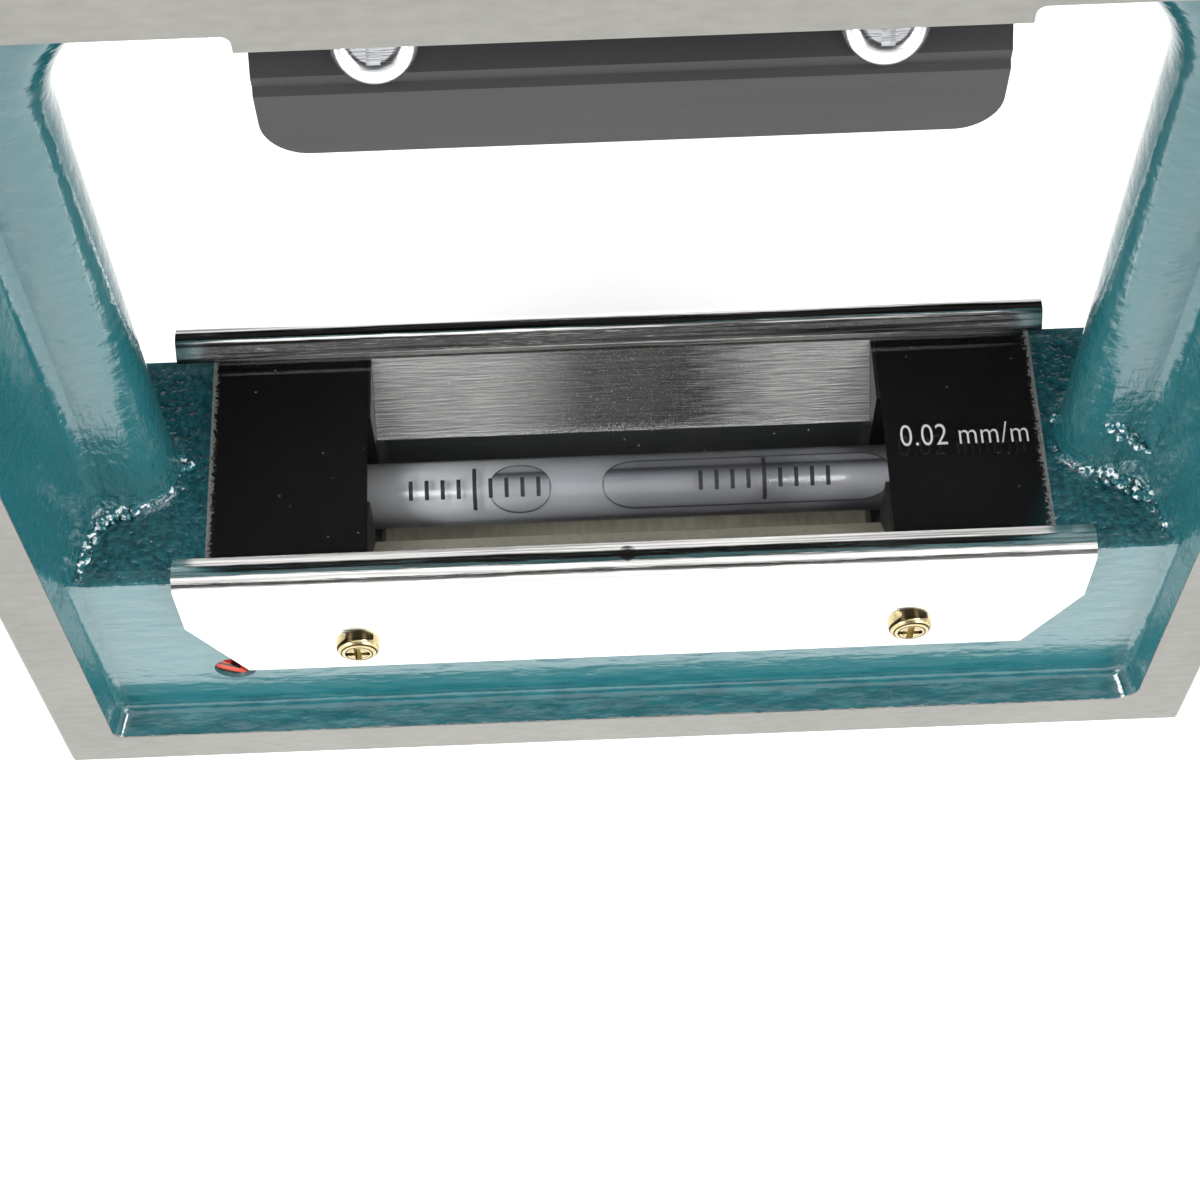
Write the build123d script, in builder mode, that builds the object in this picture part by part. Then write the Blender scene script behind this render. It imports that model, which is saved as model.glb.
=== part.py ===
from build123d import *
from math import radians, sin, cos, tan
import os

# Square frame level, 150 x 150 mm, 40 mm deep.
# Origin at the middle of the bottom face, X along the bottom bar, front is -Y, Z up.

# Casting
frame_w = 150.0
frame_h = 150.0
frame_d = 40.0
rim = 7.0
rim_slope = 14.5
rib_half = 5.0
rib_reach = 20.6
opening_r = 18.0
nose_r = 4.6
root_r = 2.0
foot_r = 1.9
ledge_r = 1.4
ledge_w = 4.0
web_sink = 1.5
bar_top = 42.0
recess_r_left = 1.8
recess_r_right = 3.2
edge_break = 0.4
same_place = 0.02
vee_w = 14.0
vee_angle = 120.0

front = frame_d / 2
inner_x = frame_w / 2 - rim
opening_x = frame_w / 2 - rib_reach
opening_top = frame_h - rib_reach
web_half = front - ledge_w
vee_depth = vee_w / 2 / tan(radians(vee_angle / 2))

# Vial pocket in the bottom bar
pocket_x = 1.0
pocket_end = 22.8
pocket_half = 7.4
pocket_floor = 20.8
pocket_corner = 1.5
slope_edge = 1.0
slot_half = 6.0
slot_past = 7.0
slot_floor = 26.0

pocket_len = 2 * (opening_x - pocket_end)
slope_half = web_half - slope_edge
slope_low = bar_top - (slope_half - pocket_half)

# Vial
vial_x = 1.0
vial_z = 32.9
vial_d = 8.3
vial_bore = 6.0
vial_past = 11.4
vial_end = 4.0
liquid_gap = 0.04
bubble_flat = 0.9
bubble_gap = 0.06
bubble_w = 5.0
bubble_end_flat = 0.02
long_bubble_share = 0.4667
small_bubble_share = 0.1
bubble_space_share = 0.082
bubble_end_share = 0.0718

vial_r = vial_d / 2
vial_x0 = vial_x - pocket_len / 2 - vial_past
vial_x1 = vial_x + pocket_len / 2 + vial_past
vial_len = vial_x1 - vial_x0
bore_len = vial_len - 2 * vial_end
bubble_r = vial_bore / 2 - bubble_gap
bubble_low = vial_z + bubble_flat + bubble_gap
long_x1 = vial_x1 - vial_end - bore_len * bubble_end_share
long_x0 = long_x1 - bore_len * long_bubble_share
small_x1 = long_x0 - bore_len * bubble_space_share
small_x0 = small_x1 - bore_len * small_bubble_share

# Vial end caps, pivot and zero adjuster
cap_half = 5.2
cap_low = 27.6
cap_high = 38.2
cap_grip = 6.0
socket_gap = 0.03
end_gap = 0.05
left_cap_past = 6.2
right_cap_past = 6.4
pivot_past = 3.0
pivot_d = 3.0
pivot_step = 1.0
pivot_back = 12.0
run_gap = 0.05
press_gap = 0.01
adj_past = 8.3
adj_z = 18.5
adj_hole_d = 5.4
adj_gap = 0.08
adj_sink = 0.6
adj_slot_w = 1.1
adj_slot_deep = 1.3
adj_slot_turn = -52
pin_d = 2.6
pin_offset = 0.4
pin_half = 4.0
pin_gap = 0.06
pin_play = 0.6
journal_d = 4.0
journal_end = 11.5
arm_half = 3.2
arm_past = 12.6
arm_start = 1.8
arm_z0 = 15.0
arm_z1 = 22.0
core_past = 14.2
core_start = 0.6
core_z0 = 13.0
core_z1 = 37.0
core_half = 4.6
ring_y = 9.5
ring_w = 1.5
ring_core_d = 3.6
ring_gap = 0.03

pivot_x = vial_x1 + pivot_past
pivot_front = web_half + pivot_step
adj_x = vial_x0 - adj_past
adj_face = web_half - adj_sink

# Window
film_t = 0.2
film_x = 1.1
film_past = 0.4
film_in = 0.2
plate_t = 2.0
plate_x = 1.05
plate_end = 3.15
plate_step = 1.2

film_half = slope_half - film_in
film_x0 = film_x - pocket_len / 2 - film_past
film_x1 = film_x + pocket_len / 2 + film_past
plate_half = web_half + plate_step
plate_x0 = plate_x - (opening_x - plate_end)
plate_x1 = plate_x + (opening_x - plate_end)
plate_low = bar_top + film_t
plate_top = plate_low + plate_t

# Sheet covers
sheet = 0.8
skirt_step = 2.6
skirt_low = 23.0
front_rise = 1.5
rear_rise = 2.6
strip_w = 2.8
lip_w = 4.4
lip_gap = 0.04
front_cover_past = 0.9
rear_cover_past = 0.0
front_cover_x = 1.35
rear_cover_x = -0.4
chamfer_w = 6.2
chamfer_h = 12.0
bend_r = 2.0
ridge_r = 0.9
lip_r = 0.35
pad_past = 4.0
pad_low = 24.0
cover_hole_d = 3.4
cover_screw_x = 1.2
cover_screw_past = 2.9
cover_screw_z = 29.2

skirt_out = web_half + skirt_step
skirt_in = skirt_out - sheet
strip_in = skirt_out - strip_w
lip_in = skirt_out - lip_w
cover_screw_reach = pocket_len / 2 + cover_screw_past
cover_screw_xs = [cover_screw_x - cover_screw_reach, cover_screw_x + cover_screw_reach]

# Hand grips under the top bar
grip_slope_share = 0.62
grip_high_drop = 11.4
grip_low_drop = 27.4
brow_drop = 2.0
brow_r = 0.9
lug_low_drop = 25.0
grip_t = 3.2
grip_x = 1.3
grip_end = 21.2
grip_r = 4.2
groove_d = 0.6
groove_h = 1.2
lug_short = 4.2
lug_gap = 0.4
grip_screw_x = 1.2
grip_screw_end = 11.1
grip_screw_in = 2.8

grip_face = web_half
grip_high = frame_h - grip_high_drop
grip_bend_z = grip_high - grip_slope_share * (grip_face - rib_half)
grip_low = frame_h - grip_low_drop
lug_low = frame_h - lug_low_drop
grip_len = 2 * (opening_x - grip_end)
grip_x0 = grip_x - grip_len / 2
grip_x1 = grip_x + grip_len / 2
rim_low = frame_h - rim
lug_len = grip_len - 2 * lug_short
slope_rise = grip_bend_z + grip_face
lug_rise = slope_rise - grip_t / cos(radians(45))
grip_screw_y = grip_face - grip_screw_in
grip_screw_z = slope_rise - grip_screw_y
grip_screw_reach = grip_len / 2 - grip_screw_end
grip_screw_xs = [grip_screw_x - grip_screw_reach, grip_screw_x + grip_screw_reach]

# Screws
cross_len = 0.55
cross_w = 0.15
cross_deep = 0.6
head_round = 0.75
m3_d = 3.0
m3_head_d = 5.5
m3_head_h = 1.4
m3_len = 9.0
m4_d = 4.0
m4_hole_d = 4.5
m4_head_d = 8.0
m4_head_h = 2.6
m4_len = 10.0
thread_gap = 0.02
tap_extra = 0.6


def side_plane(x, y, z, side):
    # plane facing the front (side = -1) or the back (side = 1)
    return Plane(origin=(x, side * y, z), x_dir=(-side, 0, 0), z_dir=(0, side, 0))


def slope_plane(x, side):
    # plane on the outer slope of a grip, facing up and outwards
    lean = sin(radians(45))
    spot = (x, side * grip_screw_y, grip_screw_z)
    return Plane(origin=spot, x_dir=(1, 0, 0), z_dir=(0, side * lean, lean))


def edges_near(edges, y=None, z=None):
    # edges whose middle lies at the given coordinates
    kept = []
    for edge in edges:
        middle = edge.center(CenterOf.BOUNDING_BOX)
        if y is not None and abs(middle.Y - y) > same_place:
            continue
        if z is not None and abs(middle.Z - z) > same_place:
            continue
        kept.append(edge)
    return kept


def box_between(x0, x1, y0, y1, z0, z1, mode=Mode.ADD):
    with Locations(((x0 + x1) / 2, (y0 + y1) / 2, (z0 + z1) / 2)):
        Box(x1 - x0, y1 - y0, z1 - z0, mode=mode)


def bar_of(points, x, length, mode=Mode.ADD):
    # profile given as (y, z) points, drawn out along X about its middle x
    with BuildSketch(Plane.YZ.offset(x)) as profile:
        with BuildLine():
            Polyline(*points, close=True)
        make_face()
    extrude(profile.sketch, amount=length / 2, both=True, mode=mode)


def rod(plane, d, length, mode=Mode.ADD):
    # round bar from the plane inwards, against its normal
    with BuildSketch(plane) as disc:
        Circle(d / 2)
    extrude(disc.sketch, amount=-length, mode=mode)


def pan_screw(plane, head_d, head_h, shank_d, length):
    # pan head with a cross recess on the given plane, shank behind it
    top = plane.offset(head_h)
    with BuildPart() as screw:
        with BuildSketch(plane):
            Circle(head_d / 2)
        extrude(amount=head_h)
        crown = [e for e in screw.edges() if e.geom_type == GeomType.CIRCLE]
        crown = [e for e in crown if (e.arc_center - top.origin).length < same_place]
        fillet(crown, radius=head_h * head_round)
        with BuildSketch(top):
            Rectangle(head_d * cross_len, head_d * cross_w)
            Rectangle(head_d * cross_w, head_d * cross_len)
        extrude(amount=-head_h * cross_deep, mode=Mode.SUBTRACT)
        rod(plane, shank_d, length)
    return screw.part


def keep(piece, name):
    piece.part.label = name
    export_step(piece.part, "parts/" + name + ".step")


os.makedirs("parts", exist_ok=True)

# Casting: rim with sloped inner walls, rib round the opening, deep bottom bar
with BuildPart() as frame_body:
    box_between(-frame_w / 2, frame_w / 2, -front, front, 0, frame_h)
    chamfer(frame_body.edges(), length=edge_break)
    across = 2 * inner_x
    height = frame_h - 2 * rim
    deep = front - rib_half
    wall_run = deep * tan(radians(rim_slope))
    floor_box = (wall_run, wall_run, across - wall_run, height - wall_run)
    for side, turn in ((-1, 0), (1, 180)):
        with Locations((0, side * (front + rib_half) / 2, frame_h / 2)):
            Wedge(across, deep, height, *floor_box, rotation=(0, 0, turn), mode=Mode.SUBTRACT)
    fillet(edges_near(frame_body.edges(), y=-rib_half), radius=root_r)
    fillet(edges_near(frame_body.edges(), y=rib_half), radius=root_r)
    with BuildSketch(Plane.XZ) as opening:
        with Locations((0, (bar_top + opening_top) / 2)):
            Rectangle(2 * opening_x, opening_top - bar_top)
        fillet(opening.vertices().group_by(Axis.Y)[-1], radius=opening_r)
    extrude(amount=frame_d, both=True, mode=Mode.SUBTRACT)
    for side in (-1, 1):
        rib_edges = edges_near(frame_body.edges(), y=side * rib_half)
        rib_edges = [e for e in rib_edges if e.center().Z > bar_top + edge_break]
        fillet(rib_edges, radius=nose_r)
    box_between(-inner_x - web_sink, inner_x + web_sink, -web_half, web_half, edge_break, bar_top)
    foot_edges = [e for e in edges_near(frame_body.edges(), z=bar_top) if e.length < frame_w / 2]
    fillet(foot_edges, radius=foot_r)
    # lower corners of the two recesses, then the fillet where the web meets the rim
    corner_z = rim + ledge_w / 2 * tan(radians(rim_slope))
    for end, radius in ((-1, recess_r_left), (1, recess_r_right)):
        corners = edges_near(frame_body.edges(), z=corner_z)
        fillet([e for e in corners if end * e.center().X > 0], radius=radius)
    for side in (-1, 1):
        ledge = edges_near(frame_body.edges(), y=side * web_half)
        ledge = [e for e in ledge if e.center().Z < 2 * rim and e.length > frame_w / 2]
        fillet(ledge, radius=ledge_r)
    # machined pads behind the sheet covers
    box_between(vial_x0 - pad_past, vial_x1 + pad_past, -skirt_in, skirt_in, pad_low, bar_top)
    # deeper stretch of the rim over the grips, rounded into the rim at both ends
    with BuildSketch(Plane.XZ):
        with Locations((grip_x, rim_low - brow_drop / 2)):
            Rectangle(grip_len, brow_drop)
        with Locations((grip_x, rim_low - brow_r / 2)):
            Rectangle(grip_len + 2 * brow_r, brow_r)
        with Locations((grip_x0 - brow_r, rim_low - brow_r), (grip_x1 + brow_r, rim_low - brow_r)):
            Circle(brow_r, mode=Mode.SUBTRACT)
    extrude(amount=front, both=True)
    # shouldered lug that carries the grips
    lug_y = grip_face - grip_t - lug_gap
    lug = [(-rib_half, lug_rise - rib_half), (-lug_y, lug_rise - lug_y), (-lug_y, lug_low)]
    lug += [(-y, z) for y, z in reversed(lug)]
    bar_of(lug, grip_x, lug_len)
    # vial pocket: upright lower walls, sloped upper walls
    with BuildSketch(Plane.XY.offset(pocket_floor)) as pocket:
        with Locations((pocket_x, 0)):
            Rectangle(pocket_len, 2 * pocket_half)
        fillet(pocket.vertices(), radius=pocket_corner)
    extrude(amount=bar_top - pocket_floor, mode=Mode.SUBTRACT)
    slopes = [(-slope_half, bar_top), (-pocket_half, slope_low)]
    slopes += [(-y, z) for y, z in reversed(slopes)]
    bar_of(slopes, pocket_x, pocket_len, Mode.SUBTRACT)
    slot_x0 = vial_x0 - slot_past
    slot_x1 = vial_x1 + slot_past
    box_between(slot_x0, slot_x1, -slot_half, slot_half, slot_floor, bar_top, Mode.SUBTRACT)
    core_x0 = vial_x0 - core_past
    core_x1 = vial_x0 - core_start
    box_between(core_x0, core_x1, -core_half, core_half, core_z0, core_z1, Mode.SUBTRACT)
    # zero adjuster hole, its back bearing and the pivot hole
    rod(side_plane(adj_x, front, adj_z, -1), adj_hole_d, front, Mode.SUBTRACT)
    journal_hole = journal_end - core_half + tap_extra
    rod(side_plane(adj_x, -core_half, adj_z, -1), journal_d, journal_hole, Mode.SUBTRACT)
    pivot_hole = skirt_in + pivot_back + tap_extra
    rod(side_plane(pivot_x, skirt_in, vial_z, -1), pivot_d, pivot_hole, Mode.SUBTRACT)
    # tapped holes
    for side in (-1, 1):
        for x in cover_screw_xs:
            tap = m3_len - sheet + tap_extra
            rod(side_plane(x, skirt_in, cover_screw_z, side), m3_d, tap, Mode.SUBTRACT)
        for x in grip_screw_xs:
            rod(slope_plane(x, side), m4_d, m4_len + tap_extra, Mode.SUBTRACT)
    # guide grooves in the base and in the left side
    with BuildSketch(Plane.YZ):
        with BuildLine():
            Polyline((-vee_w / 2, 0), (0, vee_depth), (vee_w / 2, 0), close=True)
        make_face()
    extrude(amount=frame_w, both=True, mode=Mode.SUBTRACT)
    with BuildSketch(Plane.XY):
        with BuildLine():
            left = -frame_w / 2
            Polyline((left, -vee_w / 2), (left + vee_depth, 0), (left, vee_w / 2), close=True)
        make_face()
    extrude(amount=frame_h, mode=Mode.SUBTRACT)
keep(frame_body, "frame_body")

# Glass vial, closed at both ends
axis_plane = Plane(origin=(vial_x1, 0, vial_z), x_dir=(0, 1, 0), z_dir=(1, 0, 0))
with BuildPart() as vial_glass:
    rod(axis_plane, vial_d, vial_len)
    chamfer(vial_glass.edges(), length=edge_break)
    rod(axis_plane.offset(-vial_end), vial_bore, bore_len, Mode.SUBTRACT)
keep(vial_glass, "vial_glass")

# Liquid with the channel in which the bubbles float
with BuildPart() as vial_liquid:
    rod(axis_plane.offset(-vial_end - liquid_gap), vial_bore - 2 * liquid_gap, bore_len - 2 * liquid_gap)
    box_between(vial_x0, vial_x1, -vial_r, vial_r, vial_z + bubble_flat, vial_z + vial_r, Mode.SUBTRACT)
keep(vial_liquid, "vial_liquid")


def bubble(x0, x1):
    # upper part of the bore, rounded at both ends in plan
    with BuildPart() as air:
        with BuildSketch(Plane(origin=((x0 + x1) / 2, 0, bubble_low), z_dir=(0, 0, 1))):
            RectangleRounded(x1 - x0, bubble_w, (bubble_w - bubble_end_flat) / 2)
        extrude(amount=vial_bore)
        with BuildSketch(axis_plane):
            Circle(bubble_r)
        extrude(amount=-vial_len, mode=Mode.INTERSECT)
    return air


long_bubble = bubble(long_x0, long_x1)
keep(long_bubble, "long_bubble")
small_bubble = bubble(small_x0, small_x1)
keep(small_bubble, "small_bubble")

# Left end cap: socket for the vial and slotted arm down to the adjuster
left_cap_x0 = vial_x0 - left_cap_past
arm_x0 = vial_x0 - arm_past
arm_x1 = vial_x0 - arm_start
with BuildPart() as left_end_cap:
    box_between(left_cap_x0, vial_x0 + cap_grip, -cap_half, cap_half, cap_low, cap_high)
    box_between(left_cap_x0, arm_x1, -arm_half, arm_half, arm_z0, cap_low)
    box_between(arm_x0, arm_x1, -arm_half, arm_half, arm_z0, arm_z1)
    socket = Plane(origin=(vial_x0 - end_gap, 0, vial_z), x_dir=(0, 1, 0), z_dir=(-1, 0, 0))
    rod(socket, vial_d + 2 * socket_gap, 2 * cap_grip, Mode.SUBTRACT)
    slot_h = pin_d + 2 * pin_gap
    with BuildSketch(side_plane(adj_x + pin_offset, arm_half, adj_z, -1)):
        SlotOverall(slot_h + 2 * pin_play, slot_h)
    extrude(amount=-2 * arm_half, mode=Mode.SUBTRACT)
keep(left_end_cap, "left_end_cap")

# Right end cap: socket for the vial and cross hole for the pivot
right_cap_x1 = vial_x1 + right_cap_past
with BuildPart() as right_end_cap:
    box_between(vial_x1 - cap_grip, right_cap_x1, -cap_half, cap_half, cap_low, cap_high)
    socket = Plane(origin=(vial_x1 + end_gap, 0, vial_z), x_dir=(0, 1, 0), z_dir=(1, 0, 0))
    rod(socket, vial_d + 2 * socket_gap, 2 * cap_grip, Mode.SUBTRACT)
    rod(side_plane(pivot_x, cap_half, vial_z, -1), pivot_d + 2 * run_gap, 2 * cap_half, Mode.SUBTRACT)
keep(right_end_cap, "right_end_cap")

# Pivot pin pressed into the bottom bar
with BuildPart() as pivot_pin:
    rod(side_plane(pivot_x, pivot_front, vial_z, -1), pivot_d - 2 * press_gap, pivot_front + pivot_back)
keep(pivot_pin, "pivot_pin")

# Zero adjuster: slotted spindle with an eccentric pin and a back journal
with BuildPart() as zero_adjuster:
    face = side_plane(adj_x, adj_face, adj_z, -1)
    rod(face, adj_hole_d - 2 * adj_gap, adj_face - pin_half)
    with BuildSketch(face):
        Rectangle(adj_hole_d, adj_slot_w, rotation=adj_slot_turn)
    extrude(amount=-adj_slot_deep, mode=Mode.SUBTRACT)
    groove = face.offset(ring_y + ring_w / 2 - adj_face)
    with BuildSketch(groove):
        Circle(adj_hole_d / 2)
        Circle(ring_core_d / 2, mode=Mode.SUBTRACT)
    extrude(amount=-ring_w, mode=Mode.SUBTRACT)
    rod(side_plane(adj_x + pin_offset, pin_half, adj_z, -1), pin_d, 2 * pin_half)
    rod(side_plane(adj_x, -pin_half, adj_z, -1), journal_d - 2 * run_gap, journal_end - pin_half)
keep(zero_adjuster, "zero_adjuster")

# Rubber ring that holds the adjuster's setting
with BuildPart() as adjuster_ring:
    with BuildSketch(groove.offset(-ring_gap)):
        Circle(adj_hole_d / 2 - ring_gap)
        Circle(ring_core_d / 2 + ring_gap, mode=Mode.SUBTRACT)
    extrude(amount=-ring_w + 2 * ring_gap)
keep(adjuster_ring, "adjuster_ring")

# Black film with the vial window, under the clear plate
with BuildPart() as window_film:
    box_between(plate_x0, plate_x1, -plate_half, plate_half, bar_top, plate_low)
    box_between(film_x0, film_x1, -film_half, film_half, bar_top, plate_low, Mode.SUBTRACT)
keep(window_film, "window_film")

with BuildPart() as window_plate:
    box_between(plate_x0, plate_x1, -plate_half, plate_half, plate_low, plate_top)
keep(window_plate, "window_plate")


def sheet_cover(side, x, length, rise):
    # bent sheet: skirt on the bar's face, ridge over the plate's edge, lip pressed on the plate
    cover_top = plate_top + rise
    lip_low = plate_top + lip_gap
    strip_low = cover_top - sheet
    profile = [(skirt_out, skirt_low), (skirt_out, cover_top), (strip_in, cover_top)]
    profile += [(lip_in, lip_low + sheet), (lip_in, lip_low)]
    profile += [(strip_in, strip_low), (skirt_in, strip_low), (skirt_in, skirt_low)]
    with BuildPart() as cover:
        bar_of([(side * y, z) for y, z in profile], x, length)
        fillet(edges_near(cover.edges(), y=side * skirt_out, z=cover_top), radius=bend_r)
        fillet(edges_near(cover.edges(), y=side * skirt_in, z=strip_low), radius=bend_r - sheet)
        fillet(edges_near(cover.edges(), y=side * strip_in, z=cover_top), radius=ridge_r)
        fillet(edges_near(cover.edges(), y=side * lip_in, z=lip_low + sheet), radius=lip_r)
        for end in (-1, 1):
            tip = x + end * length / 2
            with BuildSketch(Plane.XZ):
                with BuildLine():
                    step = (tip - end * chamfer_w, skirt_low)
                    Polyline((tip, skirt_low), step, (tip, skirt_low + chamfer_h), close=True)
                make_face()
            extrude(amount=frame_d, both=True, mode=Mode.SUBTRACT)
        for hole_x in cover_screw_xs:
            rod(side_plane(hole_x, skirt_out, cover_screw_z, side), cover_hole_d, sheet, Mode.SUBTRACT)
    return cover


front_cover = sheet_cover(-1, front_cover_x, 2 * (opening_x + front_cover_past), front_rise)
keep(front_cover, "front_cover")
rear_cover = sheet_cover(1, rear_cover_x, 2 * (opening_x + rear_cover_past), rear_rise)
keep(rear_cover, "rear_cover")


def cover_screws(side):
    screws = []
    for x in cover_screw_xs:
        plane = side_plane(x, skirt_out, cover_screw_z, side)
        screws.append(pan_screw(plane, m3_head_d, m3_head_h, m3_d - 2 * thread_gap, m3_len))
    with BuildPart() as pair:
        add(screws)
    return pair


front_cover_screws = cover_screws(-1)
keep(front_cover_screws, "front_cover_screws")
rear_cover_screws = cover_screws(1)
keep(rear_cover_screws, "rear_cover_screws")


def hand_grip(side):
    # moulded angle strip: slope on the lug, upright finger face below a groove
    end_y = slope_rise - grip_high
    step = grip_t / 2 / cos(radians(45))
    flat_y = grip_face - groove_d
    flat_z = slope_rise - flat_y
    inner_y = grip_face - grip_t
    profile = [(end_y, grip_high), (flat_y, flat_z), (flat_y, flat_z - groove_h)]
    profile += [(grip_face, flat_z - groove_h - groove_d), (grip_face, grip_low)]
    profile += [(inner_y, grip_low), (inner_y, lug_rise - inner_y), (end_y - step, grip_high - step)]
    with BuildPart() as grip:
        bar_of([(side * y, z) for y, z in profile], grip_x, grip_len)
        corners = grip.edges().filter_by(Axis.Y).group_by(Axis.Z)[0]
        fillet(corners, radius=grip_r)
        for x in grip_screw_xs:
            rod(slope_plane(x, side), m4_hole_d, 2 * grip_t, Mode.SUBTRACT)
    return grip


front_grip = hand_grip(-1)
keep(front_grip, "front_grip")
rear_grip = hand_grip(1)
keep(rear_grip, "rear_grip")


def grip_screws(side):
    screws = []
    for x in grip_screw_xs:
        screws.append(pan_screw(slope_plane(x, side), m4_head_d, m4_head_h, m4_d - 2 * thread_gap, m4_len))
    with BuildPart() as pair:
        add(screws)
    return pair


front_grip_screws = grip_screws(-1)
keep(front_grip_screws, "front_grip_screws")
rear_grip_screws = grip_screws(1)
keep(rear_grip_screws, "rear_grip_screws")
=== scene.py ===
import bmesh
import bpy
from math import cos, pi, radians, sin, sqrt
from mathutils import Matrix, Vector, noise
from random import Random


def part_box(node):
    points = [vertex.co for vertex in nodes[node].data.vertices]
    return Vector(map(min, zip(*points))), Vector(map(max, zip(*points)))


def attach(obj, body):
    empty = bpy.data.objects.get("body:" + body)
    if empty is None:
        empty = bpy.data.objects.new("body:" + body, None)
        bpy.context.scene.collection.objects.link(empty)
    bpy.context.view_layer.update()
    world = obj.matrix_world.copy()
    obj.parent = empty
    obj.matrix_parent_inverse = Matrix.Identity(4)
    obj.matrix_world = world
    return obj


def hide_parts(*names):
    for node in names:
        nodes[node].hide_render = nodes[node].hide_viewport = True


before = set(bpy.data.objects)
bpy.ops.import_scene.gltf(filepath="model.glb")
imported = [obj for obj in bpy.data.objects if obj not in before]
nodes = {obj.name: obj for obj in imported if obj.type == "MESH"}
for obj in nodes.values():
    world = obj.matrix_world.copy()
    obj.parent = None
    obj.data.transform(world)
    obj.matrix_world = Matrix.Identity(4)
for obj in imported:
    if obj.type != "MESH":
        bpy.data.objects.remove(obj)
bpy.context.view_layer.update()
MM = 0.001


# Casting
# One grey iron casting: outer faces and guide grooves ground bright, the rest brushed with thick teal
# enamel, and the vial pocket milled bare.

def linear(code):
    """sRGB hex code to linear colour."""
    parts = [int(code[i:i + 2], 16) / 255 for i in (0, 2, 4)]
    return [p / 12.92 if p <= 0.04045 else ((p + 0.055) / 1.055) ** 2.4 for p in parts] + [1.0]


def fill(node, values):
    """Fills a node's sockets, by name or number. A value is a number, a colour, another node's output, or
    a node, which stands for its first output in use."""
    for name, value in values.items():
        if isinstance(value, bpy.types.Node):
            value = next(output for output in value.outputs if output.enabled)
        if isinstance(value, bpy.types.NodeSocket):
            node.id_data.links.new(value, node.inputs[name])
        else:
            node.inputs[name].default_value = value


def add_node(tree, kind, *values, **settings):
    """Adds a node with its settings, and fills its sockets in use in order, or by name from a dictionary."""
    node = tree.nodes.new(kind)
    for name, value in settings.items():
        setattr(node, name, value)
    if values and isinstance(values[0], dict):
        fill(node, values[0])
    else:
        in_use = [number for number, socket in enumerate(node.inputs) if socket.enabled]
        fill(node, dict(zip(in_use, values)))
    return node


def new_material(name):
    """An empty material, its tree, its Principled shader and its Object coordinates in millimetres."""
    material = bpy.data.materials.new(name)
    material.use_nodes = True
    tree = material.node_tree
    shader = tree.nodes["Principled BSDF"]
    place = add_node(tree, "ShaderNodeTexCoord").outputs["Object"]
    scaled = add_node(tree, "ShaderNodeVectorMath", {0: place, "Scale": 1 / MM}, operation="SCALE")
    return material, tree, shader, scaled.outputs["Vector"]


def wear_node(name, material):
    """A CAD node keeps its shape and takes this material."""
    mesh = nodes[name].data
    mesh.materials.clear()
    mesh.materials.append(material)


def between(tree, value, low, high):
    """1 where the value lies between low and high."""
    above = add_node(tree, "ShaderNodeMath", value, low, operation="GREATER_THAN")
    below = add_node(tree, "ShaderNodeMath", value, high, operation="LESS_THAN")
    return add_node(tree, "ShaderNodeMath", above, below, operation="MULTIPLY")


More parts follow.
